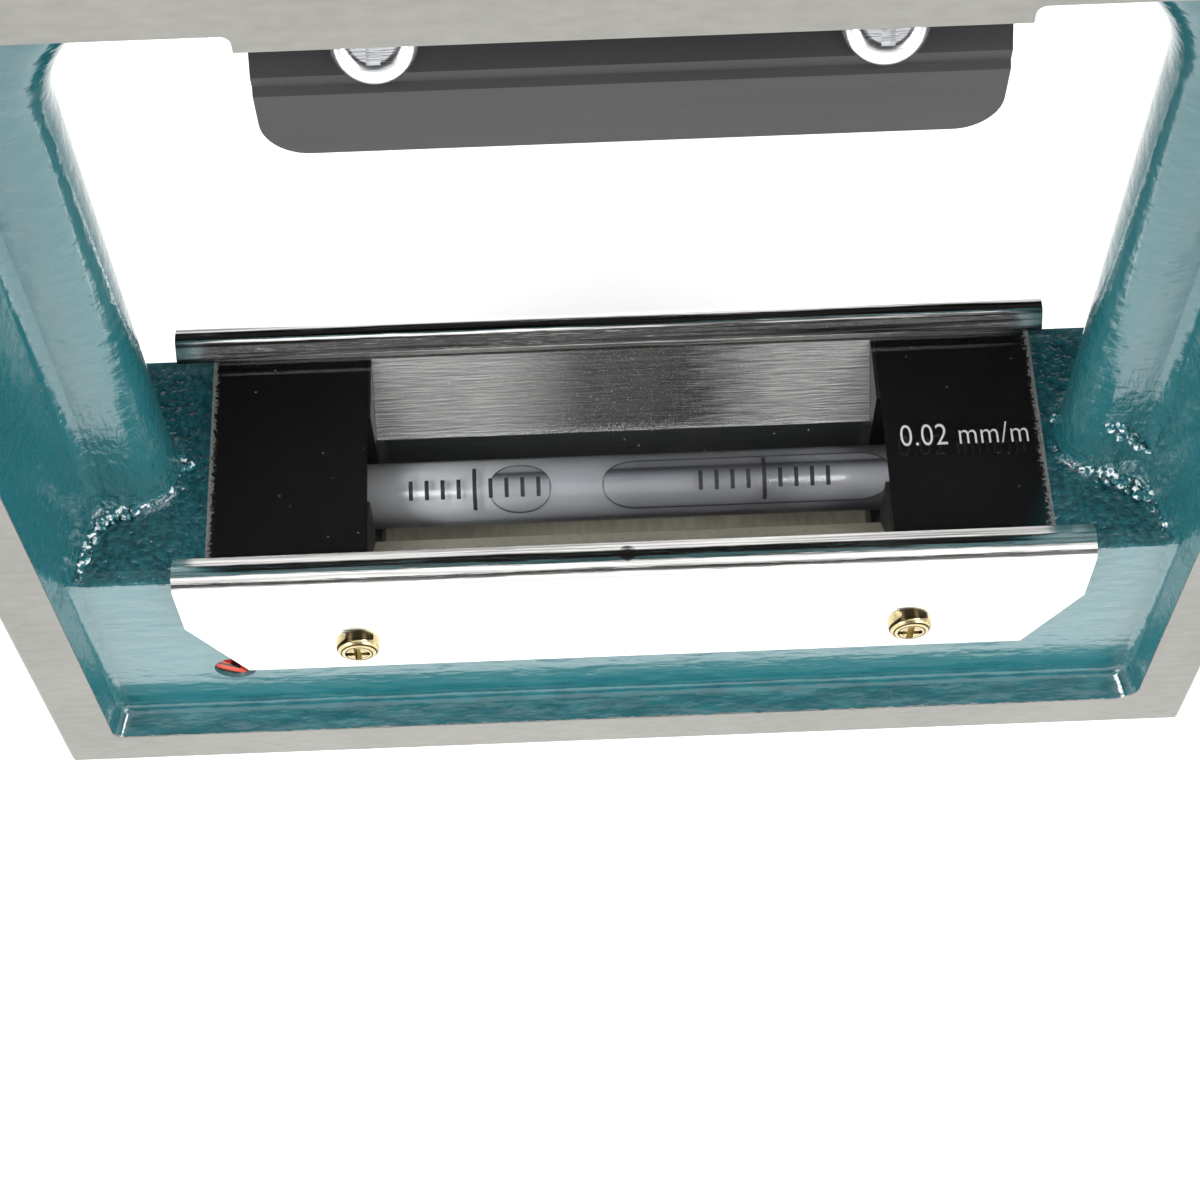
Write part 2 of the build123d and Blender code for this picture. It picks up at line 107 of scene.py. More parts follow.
def enamelled_casting():
    """Iron casting under glossy brushed enamel, ground outer faces, milled pocket."""
    low, high = (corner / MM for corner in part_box("frame_body"))
    edge = 0.45          # ground faces take in the broken edges
    groove_deep = 4.3    # guide grooves, a little past their root
    groove_half = 7.1
    pocket_x0, pocket_x1, pocket_half = -32.4, 34.4, 15.2
    bar_top, slope_low, floor_top = 42.3, 34.45, 20.9
    slope_x0, slope_x1 = -30.55, 32.55
    slot_x0, slot_x1, slot_half, slot_floor = -49.2, 51.2, 6.1, 25.8
    bar_half = 15.6              # the bar's top, as far as the rims
    web_y0, web_y1 = 14.0, 16.8  # the recessed web's faces lie between these
    rim_width = 7.5
    rib_top, rib_middle, rib_half = 68.0, 50.0, 7.0
    enamel = linear("1c5e66")
    enamel_thin = linear("2c6b71")
    ground = linear("8a8985")
    material, tree, shader, place = new_material("enamelled_casting")
    axes = add_node(tree, "ShaderNodeSeparateXYZ", place).outputs
    x, z = axes["X"], axes["Z"]
    y = add_node(tree, "ShaderNodeMath", axes["Y"], operation="ABSOLUTE")

    # where the metal is bare and ground: outer faces, broken edges and guide grooves
    paint_line = add_node(tree, "ShaderNodeTexNoise", {"Vector": place, "Scale": 0.9, "Detail": 3.0})
    side_limit = add_node(tree, "ShaderNodeMath", paint_line, -0.55, high.y + 0.12, operation="MULTIPLY_ADD")
    face_y = add_node(tree, "ShaderNodeMath", y, side_limit, operation="GREATER_THAN")
    face_left = add_node(tree, "ShaderNodeMath", x, low.x + edge, operation="LESS_THAN")
    face_right = add_node(tree, "ShaderNodeMath", x, high.x - edge, operation="GREATER_THAN")
    face_low = add_node(tree, "ShaderNodeMath", z, low.z + edge, operation="LESS_THAN")
    face_high = add_node(tree, "ShaderNodeMath", z, high.z - edge, operation="GREATER_THAN")
    in_groove = add_node(tree, "ShaderNodeMath", y, groove_half, operation="LESS_THAN")
    near_base = add_node(tree, "ShaderNodeMath", z, low.z + groove_deep, operation="LESS_THAN")
    near_left = add_node(tree, "ShaderNodeMath", x, low.x + groove_deep, operation="LESS_THAN")
    groove_low = add_node(tree, "ShaderNodeMath", in_groove, near_base, operation="MULTIPLY")
    groove_left = add_node(tree, "ShaderNodeMath", in_groove, near_left, operation="MULTIPLY")
    bare = face_y
    for face in (face_left, face_right, face_low, face_high, groove_low, groove_left):
        bare = add_node(tree, "ShaderNodeMath", bare, face, operation="MAXIMUM")

    # the milled pocket: bright slopes, dull floor, and lower walls painted near black as shade
    in_pocket = between(tree, x, pocket_x0, pocket_x1), pocket_half, low.z + 2 * groove_deep
    in_slot = between(tree, x, slot_x0, slot_x1), slot_half, slot_floor
    cuts = []
    for cut, half, cut_low in (in_pocket, in_slot):
        narrow = add_node(tree, "ShaderNodeMath", y, half, operation="LESS_THAN")
        cut = add_node(tree, "ShaderNodeMath", cut, narrow, operation="MULTIPLY")
        depth = between(tree, z, cut_low, bar_top)
        cuts.append(add_node(tree, "ShaderNodeMath", cut, depth, operation="MULTIPLY"))
    pocket, slot = cuts
    pocket = add_node(tree, "ShaderNodeMath", pocket, slot, operation="MAXIMUM")
    slope = add_node(tree, "ShaderNodeMath", z, slope_low, operation="GREATER_THAN")
    slope = add_node(tree, "ShaderNodeMath", pocket, slope, operation="MULTIPLY")
    slope_span = between(tree, x, slope_x0, slope_x1)
    slope = add_node(tree, "ShaderNodeMath", slope, slope_span, operation="MULTIPLY")
    front = add_node(tree, "ShaderNodeMath", axes["Y"], 0.0, operation="LESS_THAN")
    cast_side = add_node(tree, "ShaderNodeMath", slope, front, operation="MULTIPLY")
    floor = add_node(tree, "ShaderNodeMath", z, floor_top, operation="LESS_THAN")
    floor = add_node(tree, "ShaderNodeMath", pocket, floor, operation="MULTIPLY")

    # enamel: thick and thin patches, cooler where it pools
    patches = add_node(tree, "ShaderNodeTexNoise", {"Vector": place, "Scale": 0.11, "Detail": 4.0})
    spots = add_node(tree, "ShaderNodeTexNoise", {"Vector": place, "Scale": 1.4, "Detail": 2.0})
    pits = add_node(tree, "ShaderNodeMath", spots, 0.78, operation="GREATER_THAN")
    teal = add_node(tree, "ShaderNodeMix", patches, enamel, enamel_thin, data_type="RGBA")
    pits = add_node(tree, "ShaderNodeMath", pits, 0.7, operation="MULTIPLY")
    teal = add_node(tree, "ShaderNodeMix", pits, teal, linear("0f3c44"), data_type="RGBA")

    # the bar's top: mottled enamel, painted darker as the shade of the dim light from above, nearly black in
    # places
    at_bar_top = between(tree, z, bar_top - 0.6, bar_top + 0.6)
    shaded_top = add_node(tree, "ShaderNodeMath", y, bar_half, operation="LESS_THAN")
    shaded_top = add_node(tree, "ShaderNodeMath", at_bar_top, shaded_top, operation="MULTIPLY")
    mottle = add_node(tree, "ShaderNodeTexNoise", {"Vector": place, "Scale": 1.1, "Detail": 5.0})
    mottle = add_node(tree, "ShaderNodeMapRange", mottle, 0.36, 0.62)
    top_shade = add_node(tree, "ShaderNodeMix", mottle, linear("0c3740"), linear("1e5a62"), data_type="RGBA")
    shaded_top = add_node(tree, "ShaderNodeMath", shaded_top, 0.85, operation="MULTIPLY")
    teal = add_node(tree, "ShaderNodeMix", shaded_top, teal, top_shade, data_type="RGBA")

    # the web's front: paler above a ragged edge, a painted reflection of the pale floor
    web_face = between(tree, y, web_y0, web_y1)
    on_web = add_node(tree, "ShaderNodeMath", z, bar_top, operation="LESS_THAN")
    on_web = add_node(tree, "ShaderNodeMath", web_face, on_web, operation="MULTIPLY")
    rag_scale = add_node(tree, "ShaderNodeMapping", {"Vector": place, "Scale": (0.22, 0.6, 1.1)})
    rag = add_node(tree, "ShaderNodeTexNoise", {"Vector": rag_scale, "Scale": 1.0, "Detail": 5.0})
    rag = add_node(tree, "ShaderNodeMath", rag, 9.0, z, operation="MULTIPLY_ADD")
    painted_floor_reflection = add_node(tree, "ShaderNodeMapRange", rag, 15.6, 16.6)
    painted_floor_reflection = add_node(tree, "ShaderNodeMath", painted_floor_reflection, on_web, operation="MULTIPLY")
    painted_floor_reflection = add_node(tree, "ShaderNodeMath", painted_floor_reflection, 0.10, operation="MULTIPLY")
    teal = add_node(tree, "ShaderNodeMix", painted_floor_reflection, teal, linear("7fa3a6"), data_type="RGBA")
    # painted shade: inside the rims the enamel darkens towards the bottom, above the ledge
    painted_low_shade = add_node(tree, "ShaderNodeMapRange", rag, 14.8, 11.5)
    inside = add_node(tree, "ShaderNodeMath", x, operation="ABSOLUTE")
    inside = add_node(tree, "ShaderNodeMath", inside, high.x - rim_width, operation="LESS_THAN")
    painted_low_shade = add_node(tree, "ShaderNodeMath", painted_low_shade, inside, operation="MULTIPLY")
    painted_low_shade = add_node(tree, "ShaderNodeMath", painted_low_shade, 0.7, operation="MULTIPLY")
    teal = add_node(tree, "ShaderNodeMix", painted_low_shade, teal, linear("0f4149"), data_type="RGBA")

    # ground iron: fine lay along the faces, a few grey stains
    lay_scale = add_node(tree, "ShaderNodeMapping", {"Vector": place, "Scale": (0.35, 7.0, 0.9)})
    lay = add_node(tree, "ShaderNodeTexNoise", {"Vector": lay_scale, "Scale": 1.0, "Detail": 5.0})
    stain = add_node(tree, "ShaderNodeTexNoise", {"Vector": place, "Scale": 0.06, "Detail": 5.0})
    stain = add_node(tree, "ShaderNodeMath", stain, 0.8, operation="MULTIPLY")
    grey = add_node(tree, "ShaderNodeMix", stain, ground, linear("686763"), data_type="RGBA")
    fine_lay = add_node(tree, "ShaderNodeMath", lay, 0.35, operation="MULTIPLY")
    grey = add_node(tree, "ShaderNodeMix", fine_lay, grey, linear("b2b1ad"), data_type="RGBA")

    # milled metal: streaks along X, and a painted sheen, brighter at both ends of the slope and darker in its
    # middle
    streak_scale = add_node(tree, "ShaderNodeMapping", {"Vector": place, "Scale": (0.22, 5.0, 5.0)})
    streaks = add_node(tree, "ShaderNodeTexNoise", {"Vector": streak_scale, "Scale": 1.0, "Detail": 6.0})
    milled = add_node(tree, "ShaderNodeMix", streaks, linear("626261"), linear("f2f2ef"), data_type="RGBA")
    span = add_node(tree, "ShaderNodeMath", streaks, 14.0, x, operation="MULTIPLY_ADD")
    span = add_node(tree, "ShaderNodeMath", span, 1 / 66, 0.37, operation="MULTIPLY_ADD")
    painted_sheen = add_node(tree, "ShaderNodeValToRGB", span)
    shades = [(0.0, "e0e0e0"), (0.25, "dcdcdc"), (0.42, "767676")]
    shades += [(0.62, "666666"), (0.8, "d8d8d8"), (1.0, "e8e8e8")]
    painted_sheen.color_ramp.elements.remove(painted_sheen.color_ramp.elements[1])
    painted_sheen.color_ramp.elements[0].color = linear(shades[0][1])
    for position, code in shades[1:]:
        painted_sheen.color_ramp.elements.new(position).color = linear(code)
    milled = add_node(
        tree, "ShaderNodeMix", 1.0, milled, painted_sheen, data_type="RGBA", blend_type="MULTIPLY")
    ticks_scale = add_node(tree, "ShaderNodeMapping", {"Vector": place, "Scale": (1.1, 0.25, 1.0)})
    ticks = add_node(tree, "ShaderNodeTexNoise", {"Vector": ticks_scale, "Scale": 1.0, "Detail": 3.0})
    dull = add_node(tree, "ShaderNodeMix", ticks, linear("7d7767"), linear("b3ac99"), data_type="RGBA")
    # painted glints: white specks on the milled slope, denser along its burred lower edge
    painted_glint = add_node(tree, "ShaderNodeTexNoise", {"Vector": place, "Scale": 9.0, "Detail": 3.0})
    burr_glints = add_node(tree, "ShaderNodeMapRange", z, slope_low + 0.9, slope_low, 0.0, 0.13)
    painted_glint = add_node(tree, "ShaderNodeMath", painted_glint, burr_glints, operation="ADD")
    painted_glint = add_node(tree, "ShaderNodeMath", painted_glint, 0.66, operation="GREATER_THAN")
    painted_glint = add_node(tree, "ShaderNodeMath", painted_glint, 0.7, operation="MULTIPLY")
    milled = add_node(tree, "ShaderNodeMix", painted_glint, milled, linear("fafaf8"), data_type="RGBA")

    colour = add_node(tree, "ShaderNodeMix", bare, teal, grey, data_type="RGBA")
    # painted shade: the pocket's lower walls near black, darkest on its end walls
    painted_wall_shade = add_node(
        tree, "ShaderNodeMix", slope_span, linear("060707"), linear("202325"), data_type="RGBA")
    colour = add_node(tree, "ShaderNodeMix", pocket, colour, painted_wall_shade, data_type="RGBA")
    colour = add_node(tree, "ShaderNodeMix", floor, colour, dull, data_type="RGBA")
    colour = add_node(tree, "ShaderNodeMix", slope, colour, milled, data_type="RGBA")
    colour = add_node(tree, "ShaderNodeMix", cast_side, colour, dull, data_type="RGBA")
    metal = add_node(tree, "ShaderNodeMath", bare, slope, operation="MAXIMUM")
    machined = add_node(tree, "ShaderNodeMath", 1.0, cast_side, operation="SUBTRACT")
    metal = add_node(tree, "ShaderNodeMath", metal, machined, operation="MULTIPLY")
    fill(shader, {"Base Color": colour, "Metallic": metal})
    rough = add_node(tree, "ShaderNodeMix", patches, 0.10, 0.20)
    rough = add_node(tree, "ShaderNodeMix", bare, rough, 0.42)
    rough = add_node(tree, "ShaderNodeMix", pocket, rough, 0.36)
    fill(shader, {"Roughness": rough, "IOR": 1.62})
    unpainted = add_node(tree, "ShaderNodeMath", bare, pocket, operation="MAXIMUM")
    painted = add_node(tree, "ShaderNodeMath", 1.0, unpainted, operation="SUBTRACT")
    coat = add_node(tree, "ShaderNodeMath", painted, 0.45, operation="MULTIPLY")
    fill(shader, {"Coat Weight": coat, "Coat Roughness": 0.06})

    # relief: long brush waves, orange peel, lumps at the ribs' feet, grinding and milling marks
    wave_scale = add_node(tree, "ShaderNodeMapping", {"Vector": place, "Scale": (0.16, 0.5, 0.5)})
    waves = add_node(tree, "ShaderNodeTexNoise", {"Vector": wave_scale, "Scale": 1.0, "Detail": 3.0})
    peel = add_node(tree, "ShaderNodeTexNoise", {"Vector": place, "Scale": 0.45, "Detail": 2.0})
    lumps = add_node(tree, "ShaderNodeTexNoise", {"Vector": place, "Scale": 1.1, "Detail": 2.5})
    foot = between(tree, z, bar_top - 0.6, bar_top + 3.2)
    wrinkle_scale = add_node(tree, "ShaderNodeMapping", {"Vector": place, "Scale": (1.2, 1.2, 0.35)})
    wrinkle = add_node(tree, "ShaderNodeTexNoise", {"Vector": wrinkle_scale, "Scale": 1.0, "Detail": 3.0})
    near_foot = add_node(tree, "ShaderNodeMapRange", z, rib_top, rib_middle)
    above_bar = add_node(tree, "ShaderNodeMath", z, bar_top + 1, operation="GREATER_THAN")
    on_rib = add_node(tree, "ShaderNodeMath", y, rib_half, operation="LESS_THAN")
    for mask in (above_bar, on_rib):
        near_foot = add_node(tree, "ShaderNodeMath", near_foot, mask, operation="MULTIPLY")
    wrinkle = add_node(tree, "ShaderNodeMath", wrinkle, near_foot, operation="MULTIPLY")
    wrinkle = add_node(tree, "ShaderNodeMath", wrinkle, 0.55, operation="MULTIPLY")
    foot = add_node(tree, "ShaderNodeMath", foot, 0.5, operation="MULTIPLY")
    lumps = add_node(tree, "ShaderNodeMath", lumps, foot, operation="MULTIPLY")
    height = add_node(tree, "ShaderNodeMath", waves, 0.22, lumps, operation="MULTIPLY_ADD")
    height = add_node(tree, "ShaderNodeMath", height, wrinkle, operation="ADD")
    height = add_node(tree, "ShaderNodeMath", peel, 0.10, height, operation="MULTIPLY_ADD")
    grinding = add_node(tree, "ShaderNodeMath", lay, 0.05, operation="MULTIPLY")
    milling = add_node(tree, "ShaderNodeMath", streaks, 0.10, operation="MULTIPLY")
    height = add_node(tree, "ShaderNodeMix", bare, height, grinding)
    height = add_node(tree, "ShaderNodeMix", pocket, height, milling)
    bump = add_node(tree, "ShaderNodeBump", {"Height": height, "Distance": MM, "Strength": 1.0})
    fill(shader, {"Normal": bump})
    return material


casting_finish = enamelled_casting()
wear_node("frame_body", casting_finish)


# Pooled enamel
# Enamel that ran down the ribs and set in a thick lumpy slope on the bar's top, with a crest of drops.
# A few crumbs of it dried on the right rib. All of it is paint, so it is one with the casting.

def finished(name, mesh, smooth=True):
    """Turns a bmesh into a scene object with outward normals."""
    bmesh.ops.recalc_face_normals(mesh, faces=mesh.faces)
    for face in mesh.faces:
        face.smooth = smooth and len(face.verts) < 5
    data = bpy.data.meshes.new(name)
    mesh.to_mesh(data)
    mesh.free()
    piece = bpy.data.objects.new(name, data)
    bpy.context.scene.collection.objects.link(piece)
    return piece


def pooled_enamel(name, crest, root, rise, columns=48, rows=14):
    """Thick enamel in a rib's foot: a lumpy slope from its crest on the bar's top up to its root."""
    bar_top = 42.0
    lip = 0.55
    sunk = 1.2
    mesh = bmesh.new()
    upper, lower = [], []
    for i in range(columns + 1):
        at = i / columns * (len(crest) - 1)
        k = min(int(at), len(crest) - 2)
        near = Vector(crest[k]).lerp(Vector(crest[k + 1]), at - k)
        far = Vector(root[k]).lerp(Vector(root[k + 1]), at - k)
        line, under = [], []
        for j in range(rows + 1):
            share = (j / rows) ** 1.5
            spot = near.lerp(far, share)
            lump = noise.noise(Vector((spot.x, spot.y, 3.0)) * 0.9) * 0.35
            wobble = noise.noise(Vector((spot.x, spot.y, 9.0)) * 1.3) * 0.5
            swell = sqrt(min(1.0, j / rows / 0.35))
            height = bar_top + swell * (lip + lump) + rise * share
            place = Vector((spot.x + wobble * 0.6, spot.y + wobble, height if j else bar_top - sunk))
            line.append(mesh.verts.new(place * MM))
            under.append(mesh.verts.new(Vector((place.x, place.y, bar_top - sunk - 0.2)) * MM))
        upper.append(line)
        lower.append(under)
    for grid in (upper, lower):
        for first, second in zip(grid, grid[1:]):
            for j in range(rows):
                mesh.faces.new((first[j], first[j + 1], second[j + 1], second[j]))
    for i in range(columns):
        for j in (0, rows):
            mesh.faces.new((upper[i][j], upper[i + 1][j], lower[i + 1][j], lower[i][j]))
    for i in (0, columns):
        for j in range(rows):
            mesh.faces.new((upper[i][j], upper[i][j + 1], lower[i][j + 1], lower[i][j]))
    return finished(name, mesh)


def paint_beads(name, crest, count, spread, seed, rest_z=42.5):
    """Drops and crumbs of enamel dried along a crest, each one pressed on the surface below it."""
    rng = Random(seed)
    mesh = bmesh.new()
    for _ in range(count):
        at = rng.random() * (len(crest) - 1)
        k = min(int(at), len(crest) - 2)
        spot = Vector(crest[k]).lerp(Vector(crest[k + 1]), at - k).to_3d()
        spot.z = spot.z or rest_z
        size = 0.2 + 0.5 * rng.random() ** 2
        centre = spot + Vector((rng.gauss(0, spread), rng.gauss(0, spread), 0.25 * rng.random()))
        drop = bmesh.ops.create_icosphere(mesh, subdivisions=2, radius=1.0)["verts"]
        stretch = Vector((rng.uniform(0.8, 1.8), rng.uniform(0.7, 1.2), rng.uniform(0.6, 1.0)))
        turn = Matrix.Rotation(rng.uniform(0, pi), 3, "Z")
        for vert in drop:
            bulge = 1 + 0.3 * noise.noise(vert.co * 1.5 + centre)
            vert.co = (centre + turn @ (vert.co * stretch) * size * bulge) * MM
    return finished(name, mesh)


def enamel_drops():
    """Glassy enamel drops: teal, each with a pale glint painted on its upper side."""
    material, tree, shader, place = new_material("enamel_drops")
    # painted glints: near-white flecks on the drops' upper sides
    painted_glint = add_node(tree, "ShaderNodeTexNoise", {"Vector": place, "Scale": 1.5, "Detail": 3.0})
    painted_glint = add_node(tree, "ShaderNodeMapRange", painted_glint, 0.53, 0.58)
    up = add_node(tree, "ShaderNodeSeparateXYZ", place).outputs["Z"]
    lit = add_node(tree, "ShaderNodeMath", up, 42.55, operation="GREATER_THAN")
    painted_glint = add_node(tree, "ShaderNodeMath", painted_glint, lit, operation="MULTIPLY")
    colour = add_node(tree, "ShaderNodeMix", painted_glint, linear("1f6a73"), linear("f4fafa"), data_type="RGBA")
    fill(shader, {"Base Color": colour, "Roughness": 0.08, "Coat Weight": 1.0})
    return material


drop_finish = enamel_drops()
crests = {
    "left": [
        (-53.9, 1.5), (-54.8, -1.8), (-57.6, -4.6), (-60.3, -5.6), (-62.8, -6.4), (-64.5, -8.9),
        (-66.1, -14.6)],
    "right": [
        (54.6, 2.5), (56.2, -2.1), (58.4, -4.9), (60.7, -6.6), (63.4, -8.1), (66.2, -9.8), (67.6, -14.6)]}
roots = {
    "left": [
        (-57.5, 1.5), (-58.5, -0.6), (-60.5, -2.4), (-63.0, -3.2), (-66.0, -4.0), (-69.0, -7.0),
        (-69.2, -14.6)],
    "right": [
        (57.5, 2.5), (58.5, -0.6), (60.5, -2.4), (63.0, -3.2), (66.0, -4.0), (69.0, -7.0), (69.2, -14.6)]}
for side, seed in (("left", 3), ("right", 8)):
    pool = pooled_enamel(f"{side}_enamel_pool", crests[side], roots[side], rise=2.6)
    beads = paint_beads(f"{side}_enamel_beads", crests[side], count=170, spread=0.6, seed=seed)
    pool.data.materials.append(casting_finish)
    beads.data.materials.append(drop_finish)
    for piece in (pool, beads):
        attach(piece, "frame")

crumb_line = [(58.7, -5.0, 52.5), (61.4, -5.0, 49.8), (64.1, -5.0, 47.0), (67.4, -5.2, 43.5)]
crumbs = paint_beads("right_rib_crumbs", crumb_line, count=70, spread=0.4, seed=5)
crumbs.data.materials.append(drop_finish)
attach(crumbs, "frame")


# Vial
# A ground glass tube closed at both ends and filled with spirit. Its wall bends light so that the
# spirit seems to fill it. Two groups of nine lines are etched into its upper front and blackened.

vial_low, vial_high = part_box("vial_glass")
vial_y = (vial_low.y + vial_high.y) / 2
vial_z = (vial_low.z + vial_high.z) / 2
vial_r = (vial_high.z - vial_low.z) / 2
bore_r = 3.02 * MM
wall_end = 4.0 * MM


def turned(name, profile, turns=96):
    """A closed round mesh about the vial's axis, from (x, radius) points."""
    mesh = bmesh.new()
    rings = []
    for x, radius in profile:
        ring = []
        for k in range(turns):
            angle = 2 * pi * k / turns
            ring.append(mesh.verts.new((x, vial_y + radius * sin(angle), vial_z + radius * cos(angle))))
        rings.append(ring)
    for first, second in zip(rings, rings[1:]):
        for k in range(turns):
            after = (k + 1) % turns
            mesh.faces.new((first[k], first[after], second[after], second[k]))
    mesh.faces.new(reversed(rings[0]))
    mesh.faces.new(rings[-1])
    return finished(name, mesh)


def let_lamps_through(tree, shader, tint):
    """Clear glass or acrylic: lamps shine through it, and everything else sees it refract."""
    path = add_node(tree, "ShaderNodeLightPath").outputs["Is Shadow Ray"]
    clear = add_node(tree, "ShaderNodeBsdfTransparent", {"Color": tint})
    both = add_node(tree, "ShaderNodeMixShader", path, shader, clear)
    fill(tree.nodes["Material Output"], {"Surface": both})


def ground_glass():
    """Polished borosilicate tube, a faint grey cast in its thickness."""
    material, tree, shader, place = new_material("vial_glass")
    fill(shader, {"Base Color": linear("f5f5f6"), "Transmission Weight": 1.0, "IOR": 1.47})
    cloud = add_node(tree, "ShaderNodeTexNoise", {"Vector": place, "Scale": 0.8, "Detail": 2.0})
    fill(shader, {"Roughness": add_node(tree, "ShaderNodeMix", cloud, 0.13, 0.19)})
    let_lamps_through(tree, shader, linear("efeff0"))
    return material


def painted_spirit_shading(tree, place):
    """The grey of the spirit along the vial, with painted light and shade: brightest at the left end, darker
    towards the right, a little lighter again at the right end.
    """
    x = add_node(tree, "ShaderNodeSeparateXYZ", place).outputs["X"]
    along = add_node(tree, "ShaderNodeMapRange", x, -32.0, 34.0)
    ramp = add_node(tree, "ShaderNodeValToRGB", along)
    painted_tones = [(0.0, "fafafc"), (0.16, "e2e2e6"), (0.24, "c6c6ca"), (0.34, "aaaaae"), (0.42, "9e9ea2")]
    painted_tones += [(0.52, "8a8a8e"), (0.8, "88888c"), (1.0, "c0c0c4")]
    ramp.color_ramp.elements.remove(ramp.color_ramp.elements[1])
    ramp.color_ramp.elements[0].color = linear(painted_tones[0][1])
    for position, code in painted_tones[1:]:
        ramp.color_ramp.elements.new(position).color = linear(code)
    return ramp


def spirit():
    """Clear spirit in front of the bore's back, drawn as an opaque soft lilac grey that stands in for the
    light the bore's back throws through it, with painted shade along the vial.
    """
    material, tree, shader, place = new_material("spirit")
    fill(shader, {"Base Color": painted_spirit_shading(tree, place), "Metallic": 0.25, "Roughness": 0.7})
    return material


chamfer = 0.4 * MM
glass_profile = [(vial_low.x, vial_r - chamfer), (vial_low.x + chamfer, vial_r)]
glass_profile += [(vial_high.x - chamfer, vial_r), (vial_high.x, vial_r - chamfer)]
vial = turned("vial_tube", glass_profile)
vial.data.materials.append(ground_glass())
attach(vial, "vial_carrier")
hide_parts("vial_glass")

contents = turned("vial_spirit", [(vial_low.x + wall_end, bore_r), (vial_high.x - wall_end, bore_r)])
contents.data.materials.append(spirit())
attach(contents, "vial_carrier")
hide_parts("vial_liquid")


def etched_black():
    """Etched lines filled with black, a little rough inside."""
    material, tree, shader, place = new_material("etched_black")
    grain = add_node(tree, "ShaderNodeTexNoise", {"Vector": place, "Scale": 6.0, "Detail": 2.0})
    colour = add_node(tree, "ShaderNodeMix", grain, linear("050507"), linear("0e0e10"), data_type="RGBA")
    fill(shader, {"Base Color": colour, "Roughness": 0.6})
    return material


def etched_line(name, height, width=0.52 * MM, lean=radians(23), steps=12):
    """One line as a thin band that follows the glass, at x = 0."""
    mesh = bmesh.new()
    half_angle = height / 2 / vial_r
    corners = []
    for k in range(steps + 1):
        angle = -lean - half_angle + 2 * half_angle * k / steps
        row = []
        for radius in (vial_r - 0.02 * MM, vial_r + 0.015 * MM):
            for side in (-1, 1):
                spot = (side * width / 2, vial_y + radius * sin(angle), vial_z + radius * cos(angle))
                row.append(mesh.verts.new(spot))
        corners.append(row)
    for first, second in zip(corners, corners[1:]):
        for a, b in ((0, 1), (1, 3), (3, 2), (2, 0)):
            mesh.faces.new((first[a], first[b], second[b], second[a]))
    for row in (corners[0], corners[-1]):
        mesh.faces.new((row[0], row[1], row[3], row[2]))
    return finished(name, mesh, smooth=False)


def named_input(tree, name, kind, value):
    """A socket that the group offers, with its own value."""
    socket = tree.interface.new_socket(name, in_out="INPUT", socket_type=kind)
    if value is not None:
        socket.default_value = value
    return socket


def row_of_lines():
    """Geometry Nodes: copies of one line along X, with a pitch, a count and a first place."""
    tree = bpy.data.node_groups.new("row_of_lines", "GeometryNodeTree")
    named_input(tree, "Line", "NodeSocketObject", None)
    named_input(tree, "Count", "NodeSocketInt", 4)
    named_input(tree, "Start", "NodeSocketFloat", 0.0)
    named_input(tree, "Pitch", "NodeSocketFloat", 0.002)
    named_input(tree, "Finish", "NodeSocketMaterial", None)
    tree.interface.new_socket("Geometry", in_out="OUTPUT", socket_type="NodeSocketGeometry")
    given = add_node(tree, "NodeGroupInput").outputs
    first = add_node(tree, "ShaderNodeCombineXYZ", {"X": given["Start"]})
    step = add_node(tree, "ShaderNodeCombineXYZ", {"X": given["Pitch"]})
    points = add_node(
        tree, "GeometryNodeMeshLine", {"Count": given["Count"], "Start Location": first, "Offset": step})
    shape = add_node(tree, "GeometryNodeObjectInfo", {"Object": given["Line"]}).outputs["Geometry"]
    copies = add_node(tree, "GeometryNodeInstanceOnPoints", {"Points": points, "Instance": shape})
    real = add_node(tree, "GeometryNodeRealizeInstances", copies)
    done = add_node(tree, "GeometryNodeSetMaterial", {"Geometry": real, "Material": given["Finish"]})
    add_node(tree, "NodeGroupOutput", done)
    return tree


def grown(name, tree, **values):
    """The tree's result as a plain mesh. Values are set by the socket's identifier."""
    holder = bpy.data.objects.new(name + "_grown", bpy.data.meshes.new(name))
    bpy.context.scene.collection.objects.link(holder)
    modifier = holder.modifiers.new("grow", "NODES")
    modifier.node_group = tree
    for socket in tree.interface.items_tree:
        if socket.item_type == "SOCKET" and socket.in_out == "INPUT" and socket.name in values:
            modifier[socket.identifier] = values[socket.name]
    holder.update_tag()
    bpy.context.view_layer.update()
    evaluated = holder.evaluated_get(bpy.context.evaluated_depsgraph_get())
    data = bpy.data.meshes.new_from_object(evaluated)
    data.name = name
    holder.modifiers.remove(modifier)
    bpy.data.objects.remove(holder)
    piece = bpy.data.objects.new(name, data)
    bpy.context.scene.collection.objects.link(piece)
    return piece


line_pitch = 2.0 * MM
group_reach = 18.17 * MM
group_middle = 0.15 * MM
lines_each_side = 4
black = etched_black()
short_line = etched_line("short_line", 2.5 * MM)
long_line = etched_line("long_line", 5.7 * MM)
row_tree = row_of_lines()
for label, middle in (("left", group_middle - group_reach), ("right", group_middle + group_reach)):
    starts = {
        "outer": (short_line, lines_each_side, middle - lines_each_side * line_pitch),
        "middle": (long_line, 1, middle), "inner": (short_line, lines_each_side, middle + line_pitch)}
    for part, (line, count, start) in starts.items():
        values = {"Line": line, "Count": count, "Start": start, "Pitch": line_pitch, "Finish": black}
        lines = grown(f"{label}_{part}_lines", row_tree, **values)
        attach(lines, "vial_carrier")
for line in (short_line, long_line):
    bpy.data.objects.remove(line)
